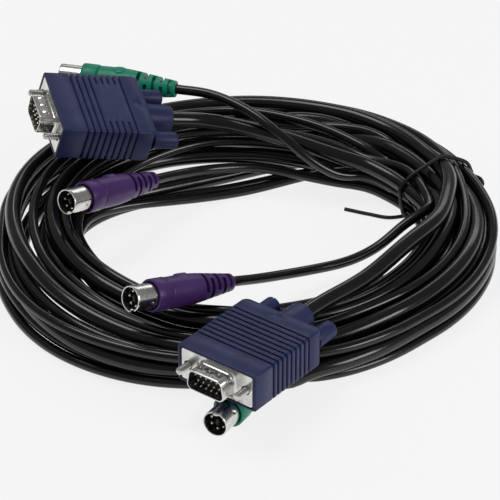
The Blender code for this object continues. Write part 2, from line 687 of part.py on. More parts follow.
def main():
    for obj in list(bpy.data.objects):
        bpy.data.objects.remove(obj, do_unlink=True)
    parts = collection("computer_cable")
    cutters = collection("cutters")
    root = bpy.data.objects.new("coil_centre", None)
    parts.objects.link(root)
    root.location = (COIL_CENTRE[0] * MM, COIL_CENTRE[1] * MM, 0)
    make_video_plug("a", VIDEO_A, root, parts, cutters)
    make_video_plug("b", VIDEO_B, root, parts, cutters)
    make_round_plug("keyboard", "a", "purple", KEYBOARD_A, root, parts, cutters)
    make_round_plug("keyboard", "b", "purple", KEYBOARD_B, root, parts, cutters)
    make_round_plug("mouse", "a", "green", MOUSE_A, root, parts, cutters)
    make_round_plug("mouse", "b", "green", MOUSE_B, root, parts, cutters)
    make_coil(root, parts, cutters)
    make_leads(root, parts)
    make_tube("twist_tie", tie_route(), TIE_D, "black_cord", root, parts)


main()
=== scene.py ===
"""Looks of the coiled computer cable: cords, plugs, twist tie, materials, light and camera."""
import math

import bmesh
import bpy
import numpy as np
from mathutils import Matrix, Vector


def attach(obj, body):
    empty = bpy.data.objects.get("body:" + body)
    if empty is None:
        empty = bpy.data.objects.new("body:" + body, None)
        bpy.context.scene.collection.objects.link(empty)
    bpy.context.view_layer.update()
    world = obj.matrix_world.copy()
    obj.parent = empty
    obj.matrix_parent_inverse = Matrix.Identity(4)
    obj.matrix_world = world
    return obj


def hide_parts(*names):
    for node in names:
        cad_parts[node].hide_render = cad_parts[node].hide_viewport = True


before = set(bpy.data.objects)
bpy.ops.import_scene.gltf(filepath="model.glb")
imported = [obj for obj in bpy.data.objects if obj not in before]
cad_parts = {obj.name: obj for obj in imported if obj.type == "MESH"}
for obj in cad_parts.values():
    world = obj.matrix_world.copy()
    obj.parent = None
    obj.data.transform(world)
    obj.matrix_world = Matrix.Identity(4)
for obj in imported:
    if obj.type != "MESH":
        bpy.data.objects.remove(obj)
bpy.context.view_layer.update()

# Sizes in millimetres, the same as those of the solids
MM = 0.001
GAP = 0.3
VIDEO_CORD_D = 6.1
THIN_CORD_D = 3.8

SCREW_SPACING = 24.99
SCREW_D = 2.84
SCREW_HOLE_D = 3.6
SCREW_REACH = 5.6
THREAD_PITCH = 0.64
THREAD_DEPTH = 0.32
KNOB_D = 6.6
KNOB_LENGTH = 10.0
KNOB_ROUND = 1.1
DRIVER_SLOT_WIDTH = 0.9
DRIVER_SLOT_DEPTH = 1.1
FLANGE_MARGIN = 1.1
FLANGE_WIDTH = SCREW_SPACING + SCREW_HOLE_D + 2 * FLANGE_MARGIN
FLANGE_HEIGHT = 12.5
FLANGE_THICK = 0.8
FLANGE_RECESS = 0.2
HOOD_SIDE_WALL = 1.3
HOOD_FACE_WALL = 0.75
HOOD_LENGTH = 38.2
HOOD_WIDTH = FLANGE_WIDTH + 2 * (GAP + HOOD_SIDE_WALL)
HOOD_THICK = FLANGE_HEIGHT + 2 * (GAP + HOOD_FACE_WALL)
HOOD_EDGE = 1.0
HOOD_REAR_CORNER = 3.0
GROOVES = 9
GROOVE_FIRST = 10.0
GROOVE_PITCH = 2.5
GROOVE_WIDTH = 1.0
GROOVE_DEPTH = 0.7
LABEL_FIRST_GROOVE = 4
LABEL_GROOVES = 4
LABEL_WIDTH = 22.0
GATE_MARK_BALL_D = 3.2
GATE_MARK_DEPTH = 0.45
GATE_MARK_FROM_REAR = 2.9
BARREL_D = 11.6
BARREL_END_D = 10.8
BARREL_LENGTH = 11.0
SKIRT_WIDTH = 16.9
SKIRT_HEIGHT = 8.3
SKIRT_CORNER = 2.4
SKIRT_SLOPE = math.radians(10.0)
SKIRT_LENGTH = 6.4
SKIRT_WALL = 0.5
DIMPLE_SIZE = (2.5, 2.3)
DIMPLE_DEPTH = 0.4
DIMPLE_PITCH = 4.0
DIMPLE_X = 3.4
CAN_DEPTH = 8.0
CAN_FLANGE_THICK = 0.8
PIN_D = 0.8
PIN_PITCH = 2.29
PIN_ROW_PITCH = 1.98
PIN_ROWS = 3
PINS_PER_ROW = 5
PIN_SHORT_OF_SKIRT = 1.0
INSULATOR_FACE = 2.6

COLLAR_D = 12.0
COLLAR_LENGTH = 6.5
BODY_D = 11.4
BODY_LENGTH = 16.0
COLLAR_NECK = 0.35
RELIEF_START_D = 10.6
RELIEF_END_D = 6.4
RELIEF_CORE_D = 5.0
RIBS = 5
RIB_WIDTH = 1.7
RIB_SPACE = 1.45
RIB_BRIDGE = math.radians(15.0)  # half of each web that joins two ribs
THUMB_MARK_D = 4.4
THUMB_MARK_RISE = 0.45
SHELL_D = 9.5
SHELL_WALL = 0.5
SHELL_LENGTH = 9.0
SHELL_SEAT = 6.0
KEYWAY_DEPTH = 0.8
KEYWAY_HALF_ANGLE = math.radians(13.0)
ROUND_PIN_D = 1.1
ROUND_PIN_CIRCLE = 5.4
ROUND_PIN_ANGLES = (30, 90, 150, 210, 270, 330)
ROUND_PIN_SHORT = 1.6
ROUND_FACE = 2.4
KEY_POST = (1.3, 2.3)

# Places of the plugs, measured from the coil's centre: origin, heading, nose-up and roll in degrees
COIL_CENTRE = (-0.25, 13.3)
VIDEO_A = ((-75.6, 39.8, 40.4), 199.2, 12.9, -13.3)
VIDEO_B = ((-10.5, -110.1, 21.7), 232.1, 0.0, 180.0)
KEYBOARD_A = ((-60.8, -3.0, 29.1), 227.7, 13.0, 30.0)
KEYBOARD_B = ((-34.3, -70.0, 29.1), 220.7, 14.7, 30.0)
MOUSE_A = ((-65.0, 81.7, 33.5), 166.0, 0.0, 0.0)
MOUSE_B = ((-6.6, -109.2, 6.9), 240.6, 2.2, 180.0)

# Routes of the free cords from near their plug to the coil, measured from the coil's centre
VIDEO_ROUTE_A = ((-18, 59.9, 26.5), (-5, 59.2, 24.6), (12, 53.5, 23.0), (27, 50.0, 19.4), (38, 47.6, 16.6),
                 (46.2, 46.2, 14.6))
KEYBOARD_ROUTE_A = ((-25, 37, 16.0), (-12, 45.8, 13.0), (4, 51.0, 10.5), (22, 50.5, 7.0), (36, 49.0, 4.6),
                    (47.1, 47.1, 3.8))
MOUSE_ROUTE_A = ((-14, 68.2, 33.6), (0, 58.2, 32.0), (14, 47.5, 26.0), (25, 43.5, 17.5), (36.5, 44.2, 10.4),
                 (47.1, 47.1, 9.0))
VIDEO_ROUTE_B = ((28, -61.5, 21.6), (43, -46.5, 21.8), (58, -27, 23.8), (71, -7.5, 23.6))
KEYBOARD_ROUTE_B = ((3.5, -36.0, 14.5), (14, -26.5, 10.4), (26, -17.5, 7.2), (38, -11.0, 6.4),
                    (49.5, -4.5, 9.0), (59.0, 2.4, 14.4))
MOUSE_TAIL = 13.0
CORD_IN_PLUG = 1.6              # how far a cord goes into the bore behind its plug
BORE_DEPTH = 2.4
SHARP_ANGLE = math.radians(38.0)  # edges of moulded and stamped pieces that stay sharp

# Room for the turns: stations counter-clockwise from +X, as angle, inner radius, outer radius and height, the
# same as the coil's solid but for a few millimetres where single turns stand proud of it
COIL_STATIONS = (
    (0, 63, 95.5, 20), (22.5, 71.5, 95.5, 20.5), (30, 71.5, 96, 20.5), (45, 68, 96, 21.5),
    (68, 59, 96, 22.5), (90, 55, 97.5, 23.5), (118, 57, 97, 22.5), (145, 60, 98, 24),
    (162, 63, 98.5, 23.5), (180, 62, 93.5, 23), (200, 58.5, 95.2, 23.5), (222, 55.5, 99.2, 21.5),
    (238, 51.5, 96.6, 17.5), (252, 49, 93, 14.5), (290, 48, 89, 14), (316, 54, 86.5, 17),
    (340, 62, 91.0, 19.5),
)
COIL_TOP_ROUND = 0.40

# Turns of the cords in the coil
STEPS_PER_TURN = 96
STEP_ANGLE = 360.0 / STEPS_PER_TURN
FIRST_ANGLE = 37.5
CORD_POINT_SPACING = 2.5

# Place of each turn across the coil, from 0 at its inner side to 1 at its outer side, and up, from 0 to 1
VIDEO_SLOTS = ((0.08, 0.45), (0.30, 0.10), (0.70, 0.08), (0.98, 0.45), (0.26, 0.98), (0.80, 1.00))
KEYBOARD_SLOTS = ((0.00, 0.05), (0.50, 0.30), (1.00, 0.00), (1.00, 0.85), (0.60, 0.98), (0.12, 0.98))
MOUSE_SLOTS = ((0.03, 0.80), (0.14, 0.00), (0.50, 0.00), (0.90, 0.12), (0.90, 0.80), (0.44, 0.80))
WANDER_ACROSS = 0.13
WANDER_UP = 0.16
# Stretches that lie apart from the rest: turn, angle, half width and shift
VIDEO_STRAYS = ((1, 114.0, 50.0, -6.5),)
KEYBOARD_STRAYS = ((0, 104.0, 62.0, -14.5), (2, 168.0, 42.0, 1.5))
MOUSE_STRAYS = ((1, 110.0, 60.0, -12.0), (3, 160.0, 40.0, 1.5))
# Last point of the mouse cord before its plug, measured from the coil's centre
MOUSE_END = (27.0, -56.6, 9.3)

# Where the turns pass over the plug under the coil, in degrees and millimetres
PLUG_ANGLE = 275.0
PLUG_HALF_WIDTH = 28.0
PLUG_EASE = 12.0
PLUG_LIFT = 3.0
PLUG_LIFT_RADIUS = 68.0
# Where the turns lie on the tie, in degrees
TIE_HALF_WIDTH = 16.0
TIE_EASE = 9.0

# How the turns settle, round by round
SETTLE_ROUNDS = 700
SETTLE_LAST = 25                # last rounds, in which the courses aren't straightened
SETTLE_PULL = 0.06              # share of the way back to a turn's own place
SETTLE_SINK = 0.006             # millimetres down
SETTLE_PUSH = 0.55              # share of an overlap that is pushed apart
CORD_CLEARANCE = 0.08

TIE_D = 1.5
TIE_ANGLE = 26.0
# The tie's loose tail: distance inside the coil, rise over its lowest place and distance along the coil
TIE_TAIL = ((15.5, 0.0, 15.5), (9.0, 0.0, 8.2), (2.6, 0.2, 1.8))
# Its twist: distance outside the coil, height and distance along the coil
TIE_TWIST = ((0.4, 12.2, -0.6), (2.2, 11.6, -2.6), (3.0, 9.8, -3.8), (2.4, 8.0, -3.4), (0.7, 7.4, -1.4))

# Camera
CAMERA_ELEVATION = 32.0
CAMERA_DISTANCE = 1.1
CAMERA_TARGET = (0.00075, 0.0203, 0.0)
FOCAL_PIXELS = 2900.0
PHOTO_PIXELS = 500.0
SENSOR_MM = 36.0

# Light: name, place and size in metres, and power in watts
LAMPS = (
    ("key", (-0.35, 0.25, 1.25), (0.6, 0.6), 5.2),
    ("right", (0.95, -0.6, 0.55), (0.5, 0.5), 5.0),
    ("back", (0.3, 1.3, 0.8), (1.0, 0.25), 1.6),
)
LAMP_TARGET = (0.0, 0.0, 0.02)
WHITE = (1, 1, 1, 1)
AMBIENT = 0.20
FLOOR_WHITE = 0.82              # share of plain white that the camera sees in the floor


# Materials

NOISE_ROUGHNESS = 0.55
SPREAD_FROM = (0.3, 0.7)        # part of a noise's range that is spread over the range wanted
RAMP_FROM = (0.35, 0.65)        # the same for a colour ramp


def set_inputs(node, values):
    for key, value in values.items():
        node.inputs[key].default_value = value


def new_material(name, roughness, metallic=0.0, specular=0.5):
    made = bpy.data.materials.new(name)
    made.use_nodes = True
    shader = made.node_tree.nodes["Principled BSDF"]
    set_inputs(shader, {"Roughness": roughness, "Metallic": metallic, "Specular IOR Level": specular})
    return made, made.node_tree, shader


def add_node(tree, kind, values=None, sources=None):
    """A node with the given input values and links, each by its input's name or number."""
    node = tree.nodes.new("ShaderNode" + kind)
    set_inputs(node, values or {})
    for key, source in (sources or {}).items():
        tree.links.new(source, node.inputs[key])
    return node


def noise(tree, scale, detail=3.0, stretch=None):
    """Noise over the piece's own coordinates in metres, drawn out along an axis where stretch says so."""
    source = add_node(tree, "TexCoord").outputs["Object"]
    if stretch:
        source = add_node(tree, "Mapping", {"Scale": stretch}, {"Vector": source}).outputs["Vector"]
    values = {"Scale": scale, "Detail": detail, "Roughness": NOISE_ROUGHNESS}
    return add_node(tree, "TexNoise", values, {"Vector": source}).outputs["Fac"]


def spread(tree, value, low, high):
    """Maps a noise value to the range from low to high."""
    values = {"From Min": SPREAD_FROM[0], "From Max": SPREAD_FROM[1], "To Min": low, "To Max": high}
    return add_node(tree, "MapRange", values, {"Value": value}).outputs["Result"]


def between(tree, value, *colours):
    """A colour ramp between two colours."""
    node = add_node(tree, "ValToRGB", None, {"Fac": value})
    for element, position, colour in zip(node.color_ramp.elements, RAMP_FROM, colours):
        element.position = position
        element.color = (*colour, 1)
    return node.outputs["Color"]


def bump(tree, shader, layers):
    """Bump from (value, strength, distance) layers, one on the other."""
    before = None
    for value, strength, distance in layers:
        node = add_node(tree, "Bump", {"Strength": strength, "Distance": distance}, {"Height": value})
        if before:
            tree.links.new(before, node.inputs["Normal"])
        before = node.outputs["Normal"]
    tree.links.new(before, shader.inputs["Normal"])


def surface(name, colours, roughness, unevenness, cloud, shine, bumps, specular=0.5, metallic=0.0):
    """A material of uneven colour and gloss; cloud, shine and each bump's first entry are noises."""
    made, tree, shader = new_material(name, roughness, metallic, specular)
    below, above = unevenness
    gloss = spread(tree, noise(tree, *shine), roughness - below, roughness + above)
    tree.links.new(between(tree, noise(tree, *cloud), *colours), shader.inputs["Base Color"])
    tree.links.new(gloss, shader.inputs["Roughness"])
    bump(tree, shader, [(noise(tree, *source), strength, distance) for source, strength, distance in bumps])
    return made


def vinyl(name, dark, light, roughness, specular):
    """Moulded satin vinyl: faint cloudiness, a fine spark-eroded grain and uneven gloss."""
    wave, grain = (260.0, 2.0), (5200.0, 2.0)
    return surface(name, (dark, light), roughness, (0.06, 0.07), (90.0, 4.0), (420.0, 3.0),
                   ((wave, 0.12, 0.0004), (grain, 0.10, 0.00006)), specular)


def nickel(name, dark, light, roughness, stretch):
    """Bright nickel plate with fine drawn scratches."""
    cloud, scratch = (240.0, 3.0), (900.0, 4.0, stretch)
    return surface(name, (dark, light), roughness, (0.05, 0.10), cloud, scratch,
                   ((cloud, 0.10, 0.0002), (scratch, 0.05, 0.00003)), metallic=1.0)


def make_materials():
    return {
        "navy": vinyl("navy_vinyl", (0.023, 0.028, 0.094), (0.030, 0.036, 0.114), 0.40, 0.26),
        "purple": vinyl("purple_vinyl", (0.062, 0.023, 0.128), (0.080, 0.032, 0.158), 0.36, 0.35),
        "green": vinyl("green_vinyl", (0.004, 0.245, 0.152), (0.008, 0.300, 0.190), 0.38, 0.40),
        "insulator": vinyl("black_insulator_plastic", (0.008, 0.008, 0.009), (0.014, 0.014, 0.014), 0.46,
                           0.35),
        "nickel": nickel("nickel_plate", (0.62, 0.61, 0.59), (0.78, 0.77, 0.74), 0.20, (1, 1, 8)),
        "steel": nickel("nickel_screw", (0.52, 0.51, 0.48), (0.68, 0.67, 0.64), 0.26, (6, 6, 1)),
        "pin": nickel("pin_plate", (0.74, 0.70, 0.60), (0.86, 0.83, 0.74), 0.18, (1, 1, 6)),
        "cord": surface("cord_vinyl", ((0.0032, 0.0032, 0.0033), (0.0056, 0.0055, 0.0053)), 0.17,
                        (0.04, 0.07), (70.0, 4.0), (60.0, 3.0),
                        (((150.0, 1.0), 0.09, 0.0005), ((3800.0, 2.0), 0.02, 0.00004))),
        "tie": surface("tie_vinyl", ((0.006, 0.006, 0.006), (0.012, 0.012, 0.012)), 0.42, (0.06, 0.08),
                       (500.0, 3.0), (500.0, 3.0), (((2400.0, 3.0), 0.2, 0.0001),), specular=0.4),
    }


# Meshes

CORNERS = ((1, 1), (-1, 1), (-1, -1), (1, -1))


def mesh_from(name, bm):
    mesh = bpy.data.meshes.new(name)
    bm.to_mesh(mesh)
    bm.free()
    return mesh


def eased(t):
    return t * t * (3 - 2 * t)


def new_object(name, data):
    made = bpy.data.objects.new(name, data)
    bpy.context.scene.collection.objects.link(made)
    return made


def loft(name, rings, closed=False):
    """A closed mesh through rings of points in millimetres, capped at both ends or joined end to start."""
    rings = np.array(rings, float)
    count, size = rings.shape[:2]
    faces = []
    for i in range(count if closed else count - 1):
        here, after = i * size, ((i + 1) % count) * size
        for j in range(size):
            k = (j + 1) % size
            faces.append((here + j, here + k, after + k, after + j))
    if not closed:
        faces.append(tuple(range(size)))
        faces.append(tuple((count - 1) * size + j for j in range(size)))
    mesh = bpy.data.meshes.new(name)
    mesh.from_pydata((rings.reshape(-1, 3) * MM).tolist(), [], faces)
    bm = bmesh.new()
    bm.from_mesh(mesh)
    bmesh.ops.recalc_face_normals(bm, faces=bm.faces)
    bm.to_mesh(mesh)
    bm.free()
    return mesh


def carve(mesh, steps):
    """The mesh with others joined to it or cut from it."""
    body = new_object("carved", mesh)
    tools = []
    for operation, other in steps:
        tool = new_object("carver", other)
        modifier = body.modifiers.new(operation, "BOOLEAN")
        modifier.operation = operation
        modifier.object = tool
        tools.append(tool)
    bpy.context.view_layer.update()
    graph = bpy.context.evaluated_depsgraph_get()
    result = bpy.data.meshes.new_from_object(body.evaluated_get(graph))
    for obj in (body, *tools):
        bpy.data.objects.remove(obj, do_unlink=True)
    return result


def merged(name, meshes):
    """One mesh of several separate bodies."""
    bm = bmesh.new()
    for mesh in meshes:
        bm.from_mesh(mesh)
    return mesh_from(name, bm)


def around(steps):
    return [2 * math.pi * i / steps for i in range(steps)]


def polar(radius, angle):
    return radius * math.cos(angle), radius * math.sin(angle)


def circle(diameter, steps):
    return [polar(diameter / 2, a) for a in around(steps)]


def through(name, stations):
    """A closed mesh through (x, outline) stations."""
    return loft(name, [[(x, y, z) for y, z in outline] for x, outline in stations])


def prism(outline, x0, x1):
    return through("prism", ((x0, outline), (x1, outline)))


def turned(profile, steps):
    """A solid turned about X from (x, diameter) stations."""
    return through("turned", [(x, circle(d, steps)) for x, d in profile])


def moved(outline, dy, dz):
    return [(y + dy, z + dz) for y, z in outline]


def rounded_rectangle(width, height, radius, steps=6):
    points = []
    for corner, (sx, sy) in enumerate(CORNERS):
        cx = sx * (width / 2 - radius)
        cy = sy * (height / 2 - radius)
        for i in range(steps):
            a = math.radians(90 * corner + 90 * i / (steps - 1))
            points.append((cx + radius * math.cos(a), cy + radius * math.sin(a)))
    return points


def d_outline(inset, steps=10):
    """The D-shaped outline of the skirt, moved inwards by inset, wide side up."""
    half_top = SKIRT_WIDTH / 2
    half_foot = half_top - SKIRT_HEIGHT * math.tan(SKIRT_SLOPE)
    corners = ((half_top, SKIRT_HEIGHT / 2), (-half_top, SKIRT_HEIGHT / 2),
               (-half_foot, -SKIRT_HEIGHT / 2), (half_foot, -SKIRT_HEIGHT / 2))
    radius = SKIRT_CORNER - inset
    points = []
    for i, corner in enumerate(corners):
        here = Vector(corner)
        before = (Vector(corners[i - 1]) - here).normalized()
        after = (Vector(corners[(i + 1) % 4]) - here).normalized()
        half_angle = before.angle(after) / 2
        centre = here + (before + after).normalized() * (SKIRT_CORNER / math.sin(half_angle))
        start = Vector((-before.y, before.x))
        end = Vector((after.y, -after.x))
        for k in range(steps):
            direction = start.slerp(end, k / (steps - 1))
            points.append(tuple(centre + direction * radius))
    return points


def pose_matrix(pose):
    """Heading about Z, then nose-up, then roll about the plug's own axis, about the coil's centre."""
    place, heading, nose_up, roll = pose
    turn = Matrix.Rotation(math.radians(heading), 4, "Z")
    lift = Matrix.Rotation(math.radians(-nose_up), 4, "Y")
    spin = Matrix.Rotation(math.radians(roll), 4, "X")
    centre = Vector((*COIL_CENTRE, 0.0))
    return Matrix.Translation((Vector(place) + centre) * MM) @ turn @ lift @ spin


def ride_as(piece, nodes, body="cable"):
    """The piece stands for CAD nodes and rides on its body."""
    if nodes:
        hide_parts(*nodes)
    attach(piece, body)
    return piece


def add_piece(name, mesh, material, nodes, pose, body="cable"):
    """A piece of the object: placed, finished and riding on its body."""
    mesh = mesh.copy()
    mesh.name = name
    mesh.transform(pose_matrix(pose))
    mesh.materials.clear()
    mesh.materials.append(material)
    mesh.shade_smooth()
    mesh.set_sharp_from_angle(angle=SHARP_ANGLE)
    return ride_as(new_object(name, mesh), nodes, body)


def add_parts(parts, pose, materials):
    """The pieces of one plug from (name, mesh, material, slot, CAD nodes) rows."""
    return [add_piece(name, mesh, materials[look], nodes, pose)
            for name, mesh, look, slot, nodes in parts]


# Video plug


def hood_outline(half_width, half_thick, label_half_thick):
    """Outline of the hood at a station, with points of its own along the label area's edges."""
    edge = LABEL_WIDTH / 2
    across = (edge + 0.12, edge - 0.12, 5.5, 0.0, -5.5, -edge + 0.12, -edge - 0.12)
    points = []
    for corner, (sy, sz) in enumerate(CORNERS):
        for i in range(6):
            a = math.radians(90 * corner + 90 * i / 5)
            points.append((sy * (half_width - HOOD_EDGE) + HOOD_EDGE * math.cos(a),
                           sz * (half_thick - HOOD_EDGE) + HOOD_EDGE * math.sin(a)))
        if corner == 0:
            points += [(y, label_half_thick if abs(y) < edge else half_thick) for y in across]
        elif corner == 2:
            points += [(-y, -half_thick) for y in across]
        else:
            points += [(points[-1][0], z) for z in ((2.5, -2.5) if corner == 1 else (-2.5, 2.5))]
    return points


def hood_stations():
    """Stations along the hood: distance back, side inset, face inset and groove depth."""
    stations = [(0.0, 0.35, 0.35, 0.0), (0.12, 0.12, 0.12, 0.0), (0.4, 0.0, 0.0, 0.0), (5.0, 0.0, 0.0, 0.0)]
    wall = [(-0.58, 0.0), (-0.48, 0.1), (-0.38, 0.8), (-0.26, 1.0)]
    wall += [(-offset, depth) for offset, depth in reversed(wall)]
    for i in range(GROOVES):
        middle = GROOVE_FIRST + GROOVE_PITCH * i
        stations += [(middle + offset * GROOVE_WIDTH, 0.0, 0.0, depth * GROOVE_DEPTH)
                     for offset, depth in wall]
    for i in range(9):
        a = math.radians(90 * i / 8)
        side = HOOD_REAR_CORNER * (1 - math.cos(a))
        back = HOOD_LENGTH - HOOD_REAR_CORNER + HOOD_REAR_CORNER * math.sin(a)
        stations.append((back, side, side * HOOD_EDGE / HOOD_REAR_CORNER, 0.0))
    return stations


def hood_mesh():
    label_start = GROOVE_FIRST + GROOVE_PITCH * (LABEL_FIRST_GROOVE - 0.5)
    label_end = label_start + GROOVE_PITCH * LABEL_GROOVES
    sections = []
    for x, side, face, groove in hood_stations():
        half_width = HOOD_WIDTH / 2 - side - groove
        half_thick = HOOD_THICK / 2 - face - groove
        in_label = label_start < x < label_end
        outline = hood_outline(half_width, half_thick, half_thick + groove if in_label else half_thick)
        sections.append((-x, outline))
    block = through("hood", sections)
    end = -HOOD_LENGTH - BARREL_LENGTH
    rear = -HOOD_LENGTH
    barrel = turned(((rear + 2, BARREL_D + 1.6), (rear - 0.1, BARREL_D + 1.4), (rear - 0.35, BARREL_D + 0.7),
                     (rear - 0.8, BARREL_D + 0.2), (rear - 1.4, BARREL_D), (end + 0.9, BARREL_END_D + 0.1),
                     (end + 0.45, BARREL_END_D - 0.2), (end + 0.15, BARREL_END_D - 0.7),
                     (end, BARREL_END_D - 1.4)), 48)
    pocket_depth = FLANGE_RECESS + FLANGE_THICK + GAP + CAN_FLANGE_THICK + CAN_DEPTH + 2 * GAP
    seat = rounded_rectangle(FLANGE_WIDTH + 2 * GAP, FLANGE_HEIGHT + 2 * GAP, 0.6, 4)
    steps = [("UNION", barrel), ("DIFFERENCE", prism(seat, 1.0, -pocket_depth)),
             ("DIFFERENCE", prism(circle(VIDEO_CORD_D + 0.4, 32), end + BORE_DEPTH, end - 1))]
    for side in (1, -1):
        bore = moved(circle(SCREW_HOLE_D, 24), side * SCREW_SPACING / 2, 0)
        steps.append(("DIFFERENCE", prism(bore, -pocket_depth + 1, -HOOD_LENGTH - 1)))
    for face in (1, -1):
        steps.append(("DIFFERENCE", gate_mark(face)))
    return carve(block, steps)


def gate_mark(face):
    """The small round pit that the mould's gate leaves near the hood's rear edge."""
    radius = GATE_MARK_BALL_D / 2
    bm = bmesh.new()
    bmesh.ops.create_uvsphere(bm, u_segments=20, v_segments=12, radius=radius * MM)
    height = HOOD_THICK / 2 + radius - GATE_MARK_DEPTH
    middle = Vector((GATE_MARK_FROM_REAR - HOOD_LENGTH, 0, face * height))
    bmesh.ops.translate(bm, verts=bm.verts, vec=middle * MM)
    return mesh_from("gate_mark", bm)


def front_shell_mesh():
    """Flange, and the drawn skirt with its rolled foot and contact dimples."""
    face = -FLANGE_RECESS
    plate = rounded_rectangle(FLANGE_WIDTH, FLANGE_HEIGHT, 0.8, 6)
    inner = rounded_rectangle(FLANGE_WIDTH - 0.3, FLANGE_HEIGHT - 0.3, 0.65, 6)
    stations = ((face - FLANGE_THICK, plate), (face - 0.15, plate), (face, inner))
    flange = through("flange", stations)
    foot = [(face + x, inset) for x, inset in ((-0.4, -1.1), (0.02, -1.1), (0.12, -0.85), (0.3, -0.5),
                                               (0.6, -0.22), (1.0, -0.05), (1.4, 0.0))]
    rim = [(face + SKIRT_LENGTH - 0.25, 0.0), (face + SKIRT_LENGTH - 0.08, 0.07), (face + SKIRT_LENGTH, 0.25)]
    skirt = through("skirt", [(x, d_outline(inset)) for x, inset in foot + rim])
    bore = prism(d_outline(SKIRT_WALL), face - 2, face + SKIRT_LENGTH + 1)
    steps = [("UNION", skirt), ("DIFFERENCE", bore)]
    for side in (1, -1):
        steps.append(("DIFFERENCE", prism(moved(circle(SCREW_HOLE_D, 28), side * SCREW_SPACING / 2, 0),
                                          face - 2, face + 1)))
    dimple = rounded_rectangle(*DIMPLE_SIZE, 0.3, 4)
    for level in (SKIRT_HEIGHT / 2, -SKIRT_HEIGHT / 2):
        for y in (-DIMPLE_PITCH, 0.0, DIMPLE_PITCH):
            box = [[(face + DIMPLE_X + px, y + py, level + shift) for px, py in dimple]
                   for shift in (-DIMPLE_DEPTH, DIMPLE_DEPTH)]
            steps.append(("DIFFERENCE", loft("dimple", box)))
    return carve(flange, steps)


def insulator_mesh():
    face = -FLANGE_RECESS
    back = -FLANGE_RECESS - FLANGE_THICK - GAP - CAN_FLANGE_THICK - CAN_DEPTH + 1
    stations = ((back, 0.0), (face + INSULATOR_FACE - 0.2, 0.0), (face + INSULATOR_FACE, 0.2))
    return through("insulator", [(x, d_outline(SKIRT_WALL + GAP + inset)) for x, inset in stations])


def pin_mesh(diameter, y, z, root, tip):
    """A round pin with a bullet-shaped tip."""
    stations = ((root, 1.0), (tip - 0.7, 1.0), (tip - 0.35, 0.86), (tip - 0.12, 0.55), (tip, 0.2))
    return through("pin", [(x, moved(circle(diameter * share, 14), y, z)) for x, share in stations])


def video_pins_mesh():
    face = -FLANGE_RECESS
    pins = []
    for row in range(PIN_ROWS):
        z = (1 - row) * PIN_ROW_PITCH
        shift = PIN_PITCH / 2 * (0.5 if row % 2 == 0 else -0.5)
        for i in range(PINS_PER_ROW):
            y = (i - (PINS_PER_ROW - 1) / 2) * PIN_PITCH + shift
            pins.append(pin_mesh(PIN_D, y, z, face + INSULATOR_FACE - 0.5,
                                 face + SKIRT_LENGTH - PIN_SHORT_OF_SKIRT))
    return merged("video_pins", pins)


def jackscrew_mesh():
    """The jackscrew with its rolled thread, up to its bevelled tip."""
    rear = -HOOD_LENGTH - GAP
    tip = -FLANGE_RECESS + SCREW_REACH
    thread_start = -1.0
    per_turn = 10
    stations = [(rear, 0.0), (thread_start - 0.3, 0.0)]
    stations += [(thread_start + THREAD_PITCH * i / per_turn, 1.0)
                 for i in range(round((tip - thread_start) / THREAD_PITCH * per_turn) + 1)]
    rings = []
    for x, threaded in stations:
        ring = []
        for a in around(20):
            phase = (x / THREAD_PITCH + a / (2 * math.pi)) % 1.0
            cut = THREAD_DEPTH * (1 - abs(2 * phase - 1)) * threaded
            radius = SCREW_D / 2 - cut - max(0.0, x - (tip - 0.6)) * 0.9
            ring.append((x, *polar(radius, a)))
        rings.append(ring)
    return loft("jackscrew", rings)


def knob_mesh():
    """The moulded knob with a driver slot in its end."""
    front = -HOOD_LENGTH - 2 * GAP
    end = front - KNOB_LENGTH
    profile = [(front, KNOB_D - 0.8), (front - 0.15, KNOB_D - 0.25), (front - 0.5, KNOB_D)]
    for i in range(7):
        a = math.radians(15 * i)
        profile.append((end + KNOB_ROUND * (1 - math.sin(a)), KNOB_D - 2 * KNOB_ROUND * (1 - math.cos(a))))
    knob = turned(profile, 40)
    half = DRIVER_SLOT_WIDTH / 2
    slot = prism(((-half, -4), (half, -4), (half, 4), (-half, 4)), end - 1, end + DRIVER_SLOT_DEPTH)
    return carve(knob, [("DIFFERENCE", slot)])


def add_video_plugs(materials):
    """Both video plugs; returns the pieces of the one at the cord's far end."""
    hood, shell, insulator, pins = hood_mesh(), front_shell_mesh(), insulator_mesh(), video_pins_mesh()
    screw, knob = jackscrew_mesh(), knob_mesh()
    far = []
    for end, pose in (("a", VIDEO_A), ("b", VIDEO_B)):
        pieces = add_parts((
            (f"hood_{end}", hood, "navy", "navy_moulding", (f"video_hood_{end}",)),
            (f"skirt_{end}", shell, "nickel", "nickel_shell", (f"video_front_shell_{end}",)),
            (f"video_insulator_{end}", insulator, "insulator", "black_insulator",
             (f"video_contact_block_{end}",)),
            (f"video_pins_{end}", pins, "pin", "nickel_shell", ()),
        ), pose, materials)
        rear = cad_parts[f"video_rear_shell_{end}"]
        for place in rear.material_slots:
            place.material = materials["nickel"]
        pieces.append(rear)
        for number, side in ((1, 1), (2, -1)):
            shift = Matrix.Translation((0, side * SCREW_SPACING / 2 * MM, 0))
            for kind, mesh, finish, slot in (("jackscrew", screw, "steel", "steel_screw"),
                                             ("thumbscrew", knob, "navy", "navy_moulding")):
                placed = mesh.copy()
                placed.transform(shift)
                name = f"{kind}_{end}{number}"
                pieces.append(add_piece(f"{name}_fine", placed, materials[finish], (name,), pose,
                                        f"screw_{end}{number}"))
        if end == "b":
            far = pieces
    return far


# Round plugs


def boot_length():
    return COLLAR_LENGTH + BODY_LENGTH + RIBS * (RIB_WIDTH + RIB_SPACE)


def relief_radius(share):
    return (RELIEF_START_D + (RELIEF_END_D - RELIEF_START_D) * share) / 2


